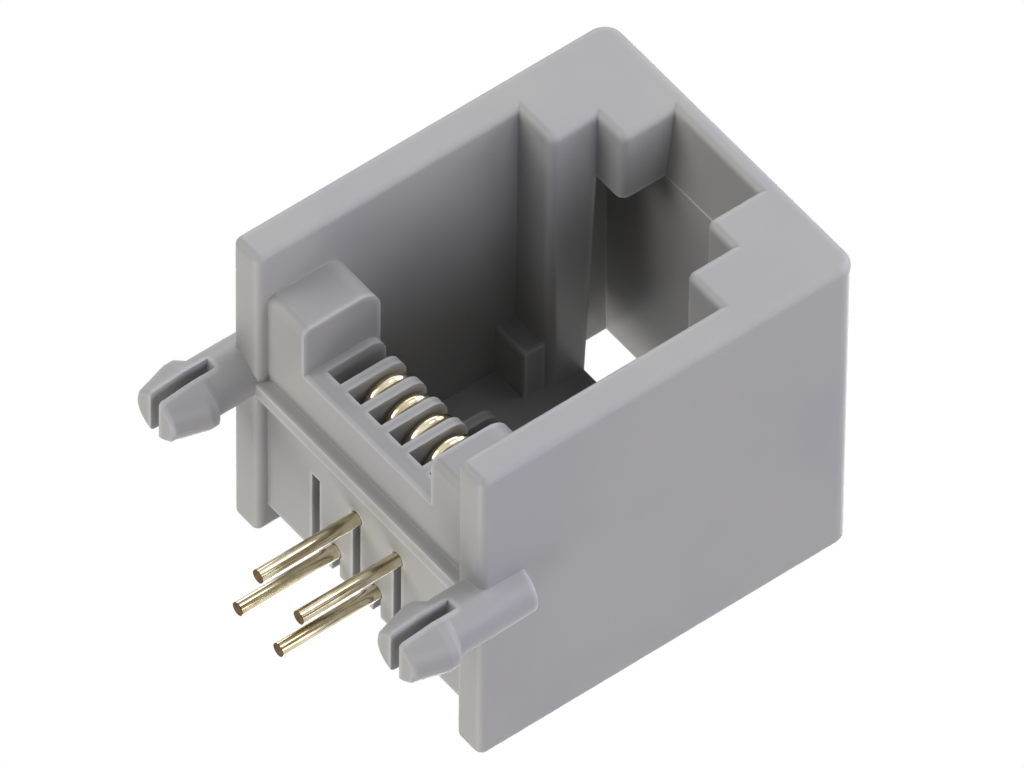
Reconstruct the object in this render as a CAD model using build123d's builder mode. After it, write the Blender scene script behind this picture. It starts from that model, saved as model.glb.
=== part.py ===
from build123d import *
import math
import os

# Side-entry modular jack for a circuit board, six positions with four contacts.
# Millimetres. The board lies in the plane Z = 0 and the jack stands on its +Z side.
# The plug goes in along +Y. The origin is midway between the two board pegs.

# Plug cavity
cavity_width = 9.9
cavity_height = 6.7
cavity_depth = 11.85
plug_floor = 3.37
key_width = 6.6
key_height = 1.76
latch_slot_width = 4.08
latch_slot_height = 2.03
catch_depth = 2.9
lead_in_rise = 0.3
chamber_step = 0.04
chamber_draft = 0.5
key_draft = 2.45
key_corner_radius = 0.3

# Shell
side_wall = 1.27
latch_wall = 0.7
back_wall = 1.15
top_corner_radius = 0.7
foot_corner_radius = 0.3
mouth_edge_radius = 0.28
back_edge_radius = 0.2

# Contact floor and its front comb
peg_setback = 6.03
floor_recess = 0.42
floor_thickness = 0.68
floor_setback = 4.0
bench_width = 1.79
bench_setback = 1.95
bench_corner_radius = 0.3
bench_nose_radius = 0.8
contact_pitch = 1.02
position_count = 6
rib_thickness = 0.36
rib_length = 2.0
rib_corner_radius = 0.6
low_rib_height = 1.1
pad_rise = 0.29
pad_setback = 0.4
pad_length = 3.0

# Rear comb and plug stops
rear_comb_depth = 1.05
rear_comb_low = 4.2
rear_comb_high = 7.8
stop_width = 1.43
stop_height = 0.8
stop_length = 2.05

# Seating rail between the pegs
rail_lead = 0.18
rail_width = 0.6

# Contact wires
wire_diameter = 0.48
wire_clearance = 0.02
front_row_setback = 8.25
row_spacing = 2.54
pin_length = 3.39
pin_bend_radius = 0.5
crest_bend_radius = 0.8
crest_setback = 4.31
spring_angle = 24
spring_end_setback = 10.4
slot_width = 0.38
first_contact = 2
last_contact = 5

# Board pegs
peg_spacing = 12.0
peg_radius = 0.99
peg_root_height = 1.62
peg_root_draft = 1.0
peg_split = 0.42
peg_split_start = 0.95
shoulder_start = 1.37
shoulder_end = 1.61
barb_reach = 1.3
barb_end = 1.9
taper_end = 3.04
taper_reach = 0.96
taper_half_depth = 0.88
tip_end = 3.14
tip_reach = 0.86
tip_half_depth = 0.78

# Levels and widths that follow from the sizes above
body_width = cavity_width + 2 * side_wall
plug_ceiling = plug_floor + cavity_height
key_ceiling = plug_ceiling + key_height
latch_ceiling = key_ceiling + latch_slot_height
body_height = latch_ceiling + latch_wall
body_depth = cavity_depth + back_wall
chamber_ceiling = latch_ceiling - lead_in_rise - chamber_step
half_cavity = cavity_width / 2
mouth = -peg_setback
back = mouth + body_depth
cavity_back = mouth + cavity_depth
catch_face = mouth + catch_depth
floor_front = mouth + floor_setback
floor_top = floor_recess + floor_thickness
channel_floor = floor_top + pad_rise
pad_front = floor_front + pad_setback
comb_half_width = half_cavity - bench_width
wire_radius = wire_diameter / 2
run_height = channel_floor + wire_clearance + wire_radius
key_drop = (body_depth - catch_depth) * math.tan(math.radians(key_draft))
chamber_rise = (body_depth - catch_depth) * math.tan(math.radians(chamber_draft))
rows = [mouth + front_row_setback, mouth + front_row_setback + row_spacing]
beyond = 1.0
near = 0.01


def position_x(number):
    """Distance of a contact position from the middle, counted from the left at 1."""
    return (number - (position_count + 1) / 2) * contact_pitch


def position_row(number):
    """Pins of neighbouring positions stand in alternate rows."""
    return rows[(number - 1) % 2]


def edges_along_depth(solid, half_width, level):
    """Straight edges that run from the mouth to the back, on both sides at one height."""
    straight = solid.edges().filter_by(Axis.Y)
    at_width = [edge for edge in straight if abs(abs(edge.center().X) - half_width) < near]
    return [edge for edge in at_width if abs(edge.center().Z - level) < near]


# The shell is a block with the plug cavity, key way and latch chamber cut out of it
with BuildPart() as housing:
    with BuildSketch(Plane.XZ.offset(-mouth)) as shell_outline:
        with Locations((0, body_height / 2)):
            Rectangle(body_width, body_height)
        fillet(shell_outline.vertices().group_by(Axis.Y)[-1], top_corner_radius)
        fillet(shell_outline.vertices().group_by(Axis.Y)[0], foot_corner_radius)
    extrude(amount=-body_depth)
    fillet(housing.faces().sort_by(Axis.Y)[-1].edges(), back_edge_radius)

    # Plug cavity, open at the mouth and on the board side
    with BuildSketch(Plane.YZ):
        with BuildLine():
            Polyline(
                (mouth - beyond, -beyond),
                (back + beyond, -beyond),
                (back + beyond, floor_top),
                (cavity_back, floor_top),
                (cavity_back, plug_ceiling),
                (mouth - beyond, plug_ceiling),
                close=True,
            )
        make_face()
    extrude(amount=half_cavity, both=True, mode=Mode.SUBTRACT)

    # Key way between the two pilasters
    with BuildSketch(Plane.YZ):
        with BuildLine():
            Polyline(
                (mouth - beyond, plug_ceiling),
                (cavity_back, plug_ceiling),
                (cavity_back, key_ceiling),
                (mouth - beyond, key_ceiling),
                close=True,
            )
        make_face()
    extrude(amount=key_width / 2, both=True, mode=Mode.SUBTRACT)

    # Latch slot between the two catches, with a lead-in for the latch
    with BuildSketch(Plane.YZ):
        with BuildLine():
            Polyline(
                (mouth, key_ceiling),
                (catch_face, key_ceiling),
                (catch_face, latch_ceiling - lead_in_rise),
                (mouth, latch_ceiling),
                close=True,
            )
        make_face()
    extrude(amount=latch_slot_width / 2, both=True, mode=Mode.SUBTRACT)

    # Latch chamber behind the catches, open through the back
    with BuildSketch(Plane.YZ):
        with BuildLine():
            Polyline(
                (catch_face, key_ceiling),
                (back, key_ceiling - key_drop),
                (back, chamber_ceiling + chamber_rise),
                (catch_face, chamber_ceiling),
                close=True,
            )
        make_face()
    extrude(amount=half_cavity, both=True, mode=Mode.SUBTRACT)

    # Rounded feet, pilasters and catches, then soft edges round the mouth
    fillet(edges_along_depth(housing, half_cavity, 0), foot_corner_radius)
    fillet(edges_along_depth(housing, key_width / 2, plug_ceiling), key_corner_radius)
    fillet(edges_along_depth(housing, latch_slot_width / 2, key_ceiling), key_corner_radius)
    mouth_edges = housing.faces().sort_by(Axis.Y)[0].edges()
    fillet(mouth_edges, mouth_edge_radius)

    # Benches beside the comb, which carry the plug
    with BuildSketch(Plane.YZ) as bench_side:
        with BuildLine():
            Polyline(
                (mouth + bench_setback, floor_recess),
                (cavity_back, floor_recess),
                (cavity_back, plug_floor),
                (mouth + bench_setback, plug_floor),
                close=True,
            )
        make_face()
        fillet(bench_side.vertices().group_by(Axis.X)[0].sort_by(Axis.Y)[-1], bench_nose_radius)
        fillet(bench_side.vertices().group_by(Axis.X)[0].sort_by(Axis.Y)[0], bench_corner_radius)
    extrude(amount=half_cavity, both=True)
    with BuildSketch(Plane.XY.offset(floor_recess)):
        with Locations((0, (mouth + cavity_back) / 2)):
            Rectangle(2 * comb_half_width, cavity_depth)
    extrude(amount=plug_floor, mode=Mode.SUBTRACT)

    # Contact floor, with a pad that the wires lie on behind its front edge
    with BuildSketch(Plane.YZ):
        with BuildLine():
            Polyline(
                (floor_front, floor_recess),
                (cavity_back, floor_recess),
                (cavity_back, floor_top),
                (pad_front + pad_length + pad_rise, floor_top),
                (pad_front + pad_length, channel_floor),
                (pad_front + pad_rise, channel_floor),
                (pad_front, floor_top),
                (floor_front, floor_top),
                close=True,
            )
        make_face()
    extrude(amount=comb_half_width, both=True)

    # Comb ribs, level with the benches at the front and low beside the wires behind it
    with BuildSketch(Plane.YZ) as rib_side:
        with BuildLine():
            Polyline(
                (floor_front, floor_recess),
                (cavity_back, floor_recess),
                (cavity_back, floor_top + low_rib_height),
                (floor_front + rib_length, floor_top + low_rib_height),
                (floor_front + rib_length, plug_floor),
                (floor_front, plug_floor),
                close=True,
            )
        make_face()
        fillet(rib_side.vertices().group_by(Axis.Y)[-1], rib_corner_radius)
    inner_rib = extrude(amount=rib_thickness / 2, both=True, mode=Mode.PRIVATE)
    for number in range(1, position_count):
        add(Pos(position_x(number + 0.5), 0, 0) * inner_rib)
    side_rib_width = comb_half_width - position_x(position_count) - (contact_pitch - rib_thickness) / 2
    side_rib = extrude(rib_side.sketch, amount=side_rib_width / 2, both=True, mode=Mode.PRIVATE)
    for side in (-1, 1):
        add(Pos(side * (comb_half_width - side_rib_width / 2), 0, 0) * side_rib)

    # Rear comb that keeps the free ends of the wires apart
    with BuildSketch(Plane.YZ) as rear_comb_side:
        with BuildLine():
            Polyline(
                (cavity_back - rear_comb_depth, rear_comb_low),
                (cavity_back, rear_comb_low - rear_comb_depth),
                (cavity_back, rear_comb_high),
                (cavity_back - rear_comb_depth, rear_comb_high),
                close=True,
            )
        make_face()
        fillet(rear_comb_side.vertices().group_by(Axis.Y)[-1].sort_by(Axis.X)[0], rib_corner_radius)
    rear_rib = extrude(amount=rib_thickness / 2, both=True, mode=Mode.PRIVATE)
    for number in range(position_count + 1):
        add(Pos(position_x(number + 0.5), 0, 0) * rear_rib)

    # Stops that the front of the plug meets
    for side in (-1, 1):
        with Locations((side * (half_cavity - stop_width / 2), cavity_back, plug_ceiling)):
            Box(stop_width, stop_length, stop_height, align=(Align.CENTER, Align.MAX, Align.MAX))

    # Seating rail across the underside, joined to the feet past their rounded edges
    with Locations((0, -rail_lead, floor_recess)):
        Box(
            cavity_width + 2 * foot_corner_radius,
            rail_width,
            floor_recess,
            align=(Align.CENTER, Align.MIN, Align.MAX),
        )

    # Slots that the pins slide along from the back, and way out above the floor for each wire
    for number in range(1, position_count + 1):
        slot_front = position_row(number)
        with Locations((position_x(number), slot_front, 0)):
            Box(
                slot_width,
                back - slot_front + beyond,
                channel_floor,
                align=(Align.CENTER, Align.MIN, Align.MIN),
                mode=Mode.SUBTRACT,
            )
        with Locations((position_x(number), cavity_back, floor_top)):
            Box(
                contact_pitch - rib_thickness,
                back_wall + beyond,
                low_rib_height,
                align=(Align.CENTER, Align.MIN, Align.MIN),
                mode=Mode.SUBTRACT,
            )
    for number in range(first_contact, last_contact + 1):
        with Locations((position_x(number), position_row(number), 0)):
            Cylinder(
                wire_radius + wire_clearance,
                channel_floor,
                align=(Align.CENTER, Align.CENTER, Align.MIN),
                mode=Mode.SUBTRACT,
            )

    # Split snap-in pegs
    for side in (-1, 1):
        with Locations((side * peg_spacing / 2, 0, 0)):
            Cylinder(peg_radius, shoulder_start, align=(Align.CENTER, Align.CENTER, Align.MAX))
            Cone(
                peg_radius,
                peg_radius - peg_root_height * math.tan(math.radians(peg_root_draft)),
                peg_root_height,
                align=(Align.CENTER, Align.CENTER, Align.MIN),
            )
        peg_sections = [
            (shoulder_start, peg_radius, peg_radius),
            (shoulder_end, barb_reach, peg_radius),
            (barb_end, barb_reach, peg_radius),
            (taper_end, taper_reach, taper_half_depth),
            (tip_end, tip_reach, tip_half_depth),
        ]
        for upper, lower in zip(peg_sections, peg_sections[1:]):
            for drop, reach, half_depth in (upper, lower):
                with BuildSketch(Plane.XY.offset(-drop)):
                    with Locations((side * peg_spacing / 2, 0)):
                        Ellipse(reach, half_depth)
            loft(ruled=True)
        with Locations((side * peg_spacing / 2, 0, -peg_split_start)):
            Box(
                peg_split,
                2 * barb_reach,
                tip_end,
                align=(Align.CENTER, Align.CENTER, Align.MAX),
                mode=Mode.SUBTRACT,
            )

housing.part.label = "housing"


def contact_wire(number):
    """One round wire: board pin, run along the floor, crest over the comb, spring into the cavity."""
    pin_y = position_row(number)
    crest_y = mouth + crest_setback + crest_bend_radius
    with BuildPart() as wire:
        with BuildLine(Plane.YZ.offset(position_x(number))) as path:
            pin = Line((pin_y, -pin_length), (pin_y, run_height - pin_bend_radius))
            pin_bend = JernArc(start=pin @ 1, tangent=pin % 1, radius=pin_bend_radius, arc_size=90)
            run = Line(pin_bend @ 1, (crest_y, run_height))
            crest = JernArc(start=run @ 1, tangent=run % 1, radius=crest_bend_radius, arc_size=spring_angle - 180)
            spring_rise = math.tan(math.radians(spring_angle))
            spring_y = mouth + spring_end_setback
            Line(crest @ 1, (spring_y, (crest @ 1).Z + (spring_y - (crest @ 1).Y) * spring_rise))
        with BuildSketch(Plane(origin=path.line @ 0, z_dir=path.line % 0)):
            Circle(wire_radius)
        sweep()
    wire.part.label = f"contact_{number}"
    return wire


os.makedirs("parts", exist_ok=True)
export_step(housing.part, "parts/housing.step")
for number in range(first_contact, last_contact + 1):
    wire = contact_wire(number)
    export_step(wire.part, f"parts/{wire.part.label}.step")
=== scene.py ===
import bpy
import bmesh
import math
from mathutils import Matrix, Vector


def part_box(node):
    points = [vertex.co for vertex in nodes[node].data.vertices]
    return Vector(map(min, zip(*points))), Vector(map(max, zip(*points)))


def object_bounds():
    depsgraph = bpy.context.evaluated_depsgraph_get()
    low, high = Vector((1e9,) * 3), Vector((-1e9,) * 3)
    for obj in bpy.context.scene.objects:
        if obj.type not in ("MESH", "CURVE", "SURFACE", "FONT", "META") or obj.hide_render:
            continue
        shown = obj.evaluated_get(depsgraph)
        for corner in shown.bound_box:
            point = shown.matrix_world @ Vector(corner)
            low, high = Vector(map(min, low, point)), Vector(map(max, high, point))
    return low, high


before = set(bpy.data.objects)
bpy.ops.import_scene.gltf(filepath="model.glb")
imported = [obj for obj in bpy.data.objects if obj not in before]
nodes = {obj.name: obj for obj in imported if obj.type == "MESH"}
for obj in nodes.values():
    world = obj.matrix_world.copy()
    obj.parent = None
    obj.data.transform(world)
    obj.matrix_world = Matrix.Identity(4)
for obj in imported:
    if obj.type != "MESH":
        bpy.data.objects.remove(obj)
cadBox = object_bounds()
millimetre = 0.001  # every size below is in metres
print("frame loaded:", ", ".join(sorted(nodes)))


def linearColour(hexCode):
    channels = [int(hexCode[i:i + 2], 16) / 255 for i in (1, 3, 5)]
    linear = (c / 12.92 if c <= 0.04045 else ((c + 0.055) / 1.055) ** 2.4 for c in channels)
    return (*linear, 1.0)


def addNode(tree, kind, settings=None, links=None):
    node = tree.nodes.new(kind)
    for name, value in (settings or {}).items():
        setattr(node, name, value)
    for socket, source in (links or {}).items():
        if isinstance(source, bpy.types.NodeSocket):
            tree.links.new(source, node.inputs[socket])
        else:
            node.inputs[socket].default_value = source
    return node


def addNoise(tree, place, pattern):
    return addNode(tree, "ShaderNodeTexNoise", links={
        "Vector": place, "Scale": 1.0 / pattern["size"],  # features per metre
        "Detail": pattern["detail"], "Roughness": pattern.get("roughness", 0.5)}).outputs["Fac"]


def addSpread(tree, value, span, result):
    return addNode(tree, "ShaderNodeMapRange", links={
        "Value": value, "From Min": span[0], "From Max": span[1],
        "To Min": result[0], "To Max": result[1]}).outputs["Result"]


def addMix(tree, kind, share, first, second):
    return addNode(tree, "ShaderNodeMix", {"data_type": kind}, {
        "Factor": share, "A": first, "B": second}).outputs["Result"]


def addRamp(tree, value, stops):
    node = addNode(tree, "ShaderNodeValToRGB", links={"Fac": value})
    first, *between, last = stops
    for element, (position, hexCode) in zip(node.color_ramp.elements, (first, last)):
        element.position = position
        element.color = linearColour(hexCode)
    for position, hexCode in between:
        node.color_ramp.elements.new(position).color = linearColour(hexCode)
    return node.outputs["Color"]


def newMaterial(name):
    material = bpy.data.materials.new(name)
    material.use_nodes = True
    material.node_tree.nodes.clear()
    return material, material.node_tree


# Housing: PBT moulded in a spark-finished mould, a dull satin light grey with soft edges
housingLook = {
    # the grey drifts slowly across a face, from neutral to a little cooler
    "shade": {"size": 5.0 * millimetre, "detail": 3.0, "roughness": 0.55},
    "greys": ((0.36, "#AAAAA8"), (0.66, "#A5A5A9")),
    # the mould's spark finish, drawn about twice as coarse as it is
    "grain": {"size": 0.09 * millimetre, "detail": 2.0, "roughness": 0.6},
    "grainHeight": 0.0012 * millimetre,
    "grainSpan": (0.3, 0.7),
    "satin": (0.38, 0.5),
    # faint sinks where the wall is thick
    "sink": {"size": 2.2 * millimetre, "detail": 1.0},
    "sinkHeight": 0.006 * millimetre,
    "edgeRadius": 0.07 * millimetre,  # the small radius that every moulded edge has
    "paintedEdgeHighlight": "#BFBFC2",            # painted highlight: outer edges are painted paler than the faces, as if they caught the light
    "paintedHighlightWidth": 0.2 * millimetre,
    "paintedHighlightSpan": (0.66, 0.98),     # openness of the inside, from an edge to a plain face
    "samples": 6,
    "ior": 1.45,
}


def makeHousingPlastic(look):
    material, tree = newMaterial("mouldedPbtLightGrey")
    place = addNode(tree, "ShaderNodeTexCoord").outputs["Object"]
    grey = addRamp(tree, addNoise(tree, place, look["shade"]), look["greys"])
    # painted highlight: near convex edges the grey is mixed towards a paler grey, so the edges look
    # lit
    openness = addNode(
        tree, "ShaderNodeAmbientOcclusion",
        {"samples": look["samples"], "inside": True, "only_local": True},
        {"Distance": look["paintedHighlightWidth"]})
    paintedHighlightShare = addSpread(tree, openness.outputs["AO"], look["paintedHighlightSpan"], (1.0, 0.0))
    colour = addMix(tree, "RGBA", paintedHighlightShare, grey, linearColour(look["paintedEdgeHighlight"]))
    grain = addNoise(tree, place, look["grain"])
    sinks = addNoise(tree, place, look["sink"])
    softEdge = addNode(tree, "ShaderNodeBevel", {"samples": look["samples"]}, {
        "Radius": look["edgeRadius"]})
    sinkBump = addNode(tree, "ShaderNodeBump", links={
        "Height": sinks, "Distance": look["sinkHeight"], "Normal": softEdge.outputs["Normal"]})
    grainBump = addNode(tree, "ShaderNodeBump", links={
        "Height": grain, "Distance": look["grainHeight"], "Normal": sinkBump.outputs["Normal"]})
    shader = addNode(tree, "ShaderNodeBsdfPrincipled", links={
        "Base Color": colour, "IOR": look["ior"], "Normal": grainBump.outputs["Normal"],
        "Roughness": addSpread(tree, grain, look["grainSpan"], look["satin"])})
    addNode(tree, "ShaderNodeOutputMaterial", links={"Surface": shader.outputs["BSDF"]})
    return material


# Contact wires: drawn phosphor bronze under a thin, bright gold flash, polished in fine drawing
# lines along the wire, with painted dark reflection streaks along the same lines. They are cut
# after plating, so the ends show dull brown bronze
wireLook = {
    # the flash is thinner in some places than in others
    "flash": {"size": 0.8 * millimetre, "detail": 4.0, "roughness": 0.6},
    "golds": ((0.28, "#BCAC89"), (0.5, "#D8CDAD"), (0.72, "#F0E9D4")),
    "drawLineWidth": 0.21 * millimetre,
    "drawLineLength": 2.5 * millimetre,
    "drawLineDetail": 1.0,
    "paintedReflectionStreak": "#988460",          # painted reflection: dark streaks along the drawing lines
    "reflectionStreakSpan": (0.3, 0.5),
    "polishSpan": (0.3, 0.7),
    "polish": (0.10, 0.2),
    # uneven marks that the cutting tool leaves on the end
    "shearMark": {"size": 0.16 * millimetre, "detail": 1.0},
    "cutShade": "#2E2318",
    "cutEnd": "#77603F",
    "cutHeight": 0.03 * millimetre,   # how far the bare end reaches up the pin
    "cutRoughness": 0.6,
}


def makeContactWire(look, pinTip):
    material, tree = newMaterial("goldFlashedBronzeWire")
    place = addNode(tree, "ShaderNodeTexCoord").outputs["Object"]
    plating = addRamp(tree, addNoise(tree, place, look["flash"]), look["golds"])
    across, along = 1.0 / look["drawLineWidth"], 1.0 / look["drawLineLength"]
    stretched = addNode(tree, "ShaderNodeMapping", links={
        "Vector": place, "Scale": (across, along, along)}).outputs["Vector"]
    drawLines = addNoise(tree, stretched, {"size": 1.0, "detail": look["drawLineDetail"]})
    polish = addSpread(tree, drawLines, look["polishSpan"], look["polish"])
    # painted reflection: the plating is darkened in streaks along the drawing lines, as if dark
    # surroundings were mirrored in the wire
    unstreakedShare = addSpread(tree, drawLines, look["reflectionStreakSpan"], (0.0, 1.0))
    platingWithPaintedStreaks = addMix(tree, "RGBA", unstreakedShare, linearColour(look["paintedReflectionStreak"]), plating)
    height = addNode(tree, "ShaderNodeSeparateXYZ", links={"Vector": place}).outputs["Z"]
    bare = addNode(tree, "ShaderNodeMath", {"operation": "LESS_THAN"}, {
        0: height, 1: pinTip + look["cutHeight"]}).outputs["Value"]
    cutFace = addMix(tree, "RGBA", addNoise(tree, place, look["shearMark"]),
                     linearColour(look["cutShade"]), linearColour(look["cutEnd"]))
    shader = addNode(tree, "ShaderNodeBsdfPrincipled", links={
        "Base Color": addMix(tree, "RGBA", bare, platingWithPaintedStreaks, cutFace), "Metallic": 1.0,
        "Roughness": addMix(tree, "FLOAT", bare, polish, look["cutRoughness"])})
    addNode(tree, "ShaderNodeOutputMaterial", links={"Surface": shader.outputs["BSDF"]})
    return material


def dress(nodeName, material):
    node = nodes[nodeName]
    node.data.materials.clear()
    node.data.materials.append(material)


dress("housing", makeHousingPlastic(housingLook))
contacts = sorted(name for name in nodes if name.startswith("contact_"))
wireMaterial = makeContactWire(wireLook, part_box(contacts[0])[0].z)
for contact in contacts:
    dress(contact, wireMaterial)
print("materials on:", ", ".join(["housing"] + contacts))

# Floor: a pale sheet under the pin tips, seen only from above, as the photo looks up past it
floorLook = {"colour": "#F4F4F4", "halfWidth": 1.5, "gap": 0.02 * millimetre}


def makeFloor(look):
    mesh = bpy.data.meshes.new("floor")
    shape = bmesh.new()
    bmesh.ops.create_grid(shape, x_segments=1, y_segments=1, size=look["halfWidth"])
    height = cadBox[0][2] - look["gap"]
    bmesh.ops.translate(shape, vec=Vector((0, 0, height)), verts=shape.verts)
    shape.to_mesh(mesh)
    shape.free()
    material, tree = newMaterial("paleFloor")
    back = addNode(tree, "ShaderNodeNewGeometry").outputs["Backfacing"]
    clear = addNode(tree, "ShaderNodeBsdfTransparent")
    paint = addNode(tree, "ShaderNodeBsdfDiffuse", links={"Color": linearColour(look["colour"])})
    oneSided = addNode(tree, "ShaderNodeMixShader", links={
        0: back, 1: paint.outputs["BSDF"], 2: clear.outputs["BSDF"]})
    addNode(tree, "ShaderNodeOutputMaterial", links={"Surface": oneSided.outputs["Shader"]})
    mesh.materials.append(material)
    floor = bpy.data.objects.new("floor", mesh)
    floor.visible_diffuse = False   # the underside keeps its even light
    floor.visible_glossy = False
    floor.visible_shadow = False
    bpy.context.scene.collection.objects.link(floor)
    return floor


makeFloor(floorLook)
print("floor ready")

# Light: soft boxes round the jack. The room itself gives almost nothing, so the plug cavity stays
# as dark as it is in the photo, and the small box before the mouth draws the bright lines on the
# wires. Seen, mirrored or through glass, the room is white
roomLight = {"level": 0.01, "tone": "#FFFFFF", "backdropLevel": 1.0, "backdrop": "#FFFFFF"}
softBoxDistance = 0.25
softBoxWidth = 0.16
softBoxes = {
    "topSoftBox": {"towards": (0.0, -0.5, 0.87), "level": 0.44, "tone": "#F6F7FF"},
    "leftTopSoftBox": {"towards": (-0.75, -0.5, 0.45), "level": 0.39, "tone": "#F8F9FF"},
    "lowFrontSoftBox": {"towards": (-0.35, -0.6, -0.72), "level": 0.57, "tone": "#FFFDF8"},
    "rightTopSoftBox": {"towards": (0.6, -0.2, 0.77), "level": 0.4, "tone": "#F8F5FF"},
    "rightSoftBox": {"towards": (0.85, -0.35, 0.05), "level": 0.46, "tone": "#F8F5FF"},
    "edgeSoftBox": {"towards": (0.5, 0.77, -0.39), "level": 0.08, "tone": "#FFFCF5"},
    "mouthSoftBox": {"towards": (0.15, -0.9, 0.4), "level": 0.12, "tone": "#FFFFFF", "width": 0.07},
    "lowBackSoftBox": {"towards": (0.2, 0.5, -0.85), "level": 0.56, "tone": "#FFFCF5"},
    "backSoftBox": {"towards": (-0.3, 0.8, 0.5), "level": 0.7, "tone": "#FFFFFF"},
}


def makeRoom(look):
    world = bpy.data.worlds.new("paleRoom")
    bpy.context.scene.world = world
    world.use_nodes = True
    tree = world.node_tree
    tree.nodes.clear()
    path = addNode(tree, "ShaderNodeLightPath")
    shown = path.outputs["Is Camera Ray"]
    for ray in ("Is Glossy Ray", "Is Transmission Ray"):
        shown = addNode(tree, "ShaderNodeMath", {"operation": "MAXIMUM"}, {
            0: shown, 1: path.outputs[ray]}).outputs["Value"]
    lighting = addNode(tree, "ShaderNodeBackground", links={
        "Color": linearColour(look["tone"]), "Strength": look["level"]})
    backdrop = addNode(tree, "ShaderNodeBackground", links={
        "Color": linearColour(look["backdrop"]), "Strength": look["backdropLevel"]})
    mixed = addNode(tree, "ShaderNodeMixShader", links={
        0: shown, 1: lighting.outputs["Background"], 2: backdrop.outputs["Background"]})
    addNode(tree, "ShaderNodeOutputWorld", links={"Surface": mixed.outputs["Shader"]})


def makeSoftBox(name, look, aim):
    lamp = bpy.data.lights.new(name, "AREA")
    lamp.size = look.get("width", softBoxWidth)
    # at level 1 a lamp lights the face turned to it as a white room would
    lamp.energy = look["level"] * (math.pi * softBoxDistance) ** 2
    lamp.color = linearColour(look["tone"])[:3]
    holder = bpy.data.objects.new(name, lamp)
    towards = Vector(look["towards"]).normalized()
    turn = (-towards).to_track_quat("-Z", "Y").to_matrix().to_4x4()
    holder.matrix_world = Matrix.Translation(aim + towards * softBoxDistance) @ turn
    bpy.context.scene.collection.objects.link(holder)


middle = (Vector(cadBox[0]) + Vector(cadBox[1])) / 2
makeRoom(roomLight)
for name, look in softBoxes.items():
    makeSoftBox(name, look, middle)
print("lights ready")

# Camera: far off with a long lens, below the board side and before the mouth, turned so that the
# mouth is at the top
cameraPlace = {
    "place": (0.39814, -0.60724, -0.30823),
    "forward": (-0.5035, 0.7672, 0.3974),
    "right": (0.6135, -0.0065, 0.7897),
    "lens": 910.2,
    "sensorWidth": 36.0,
    "clip": (0.05, 10.0),
}


def makeCamera(look):
    data = bpy.data.cameras.new("photoCamera")
    data.lens = look["lens"]
    data.sensor_fit = "HORIZONTAL"
    data.sensor_width = look["sensorWidth"]
    data.clip_start, data.clip_end = look["clip"]
    camera = bpy.data.objects.new("photoCamera", data)
    back = -Vector(look["forward"]).normalized()
    right = Vector(look["right"])
    right = (right - back * right.dot(back)).normalized()
    turn = Matrix((right, back.cross(right), back)).transposed().to_4x4()
    camera.matrix_world = Matrix.Translation(Vector(look["place"])) @ turn
    bpy.context.scene.collection.objects.link(camera)
    bpy.context.scene.camera = camera


makeCamera(cameraPlace)
bpy.context.scene.view_settings.view_transform = "Standard"
print("camera ready")
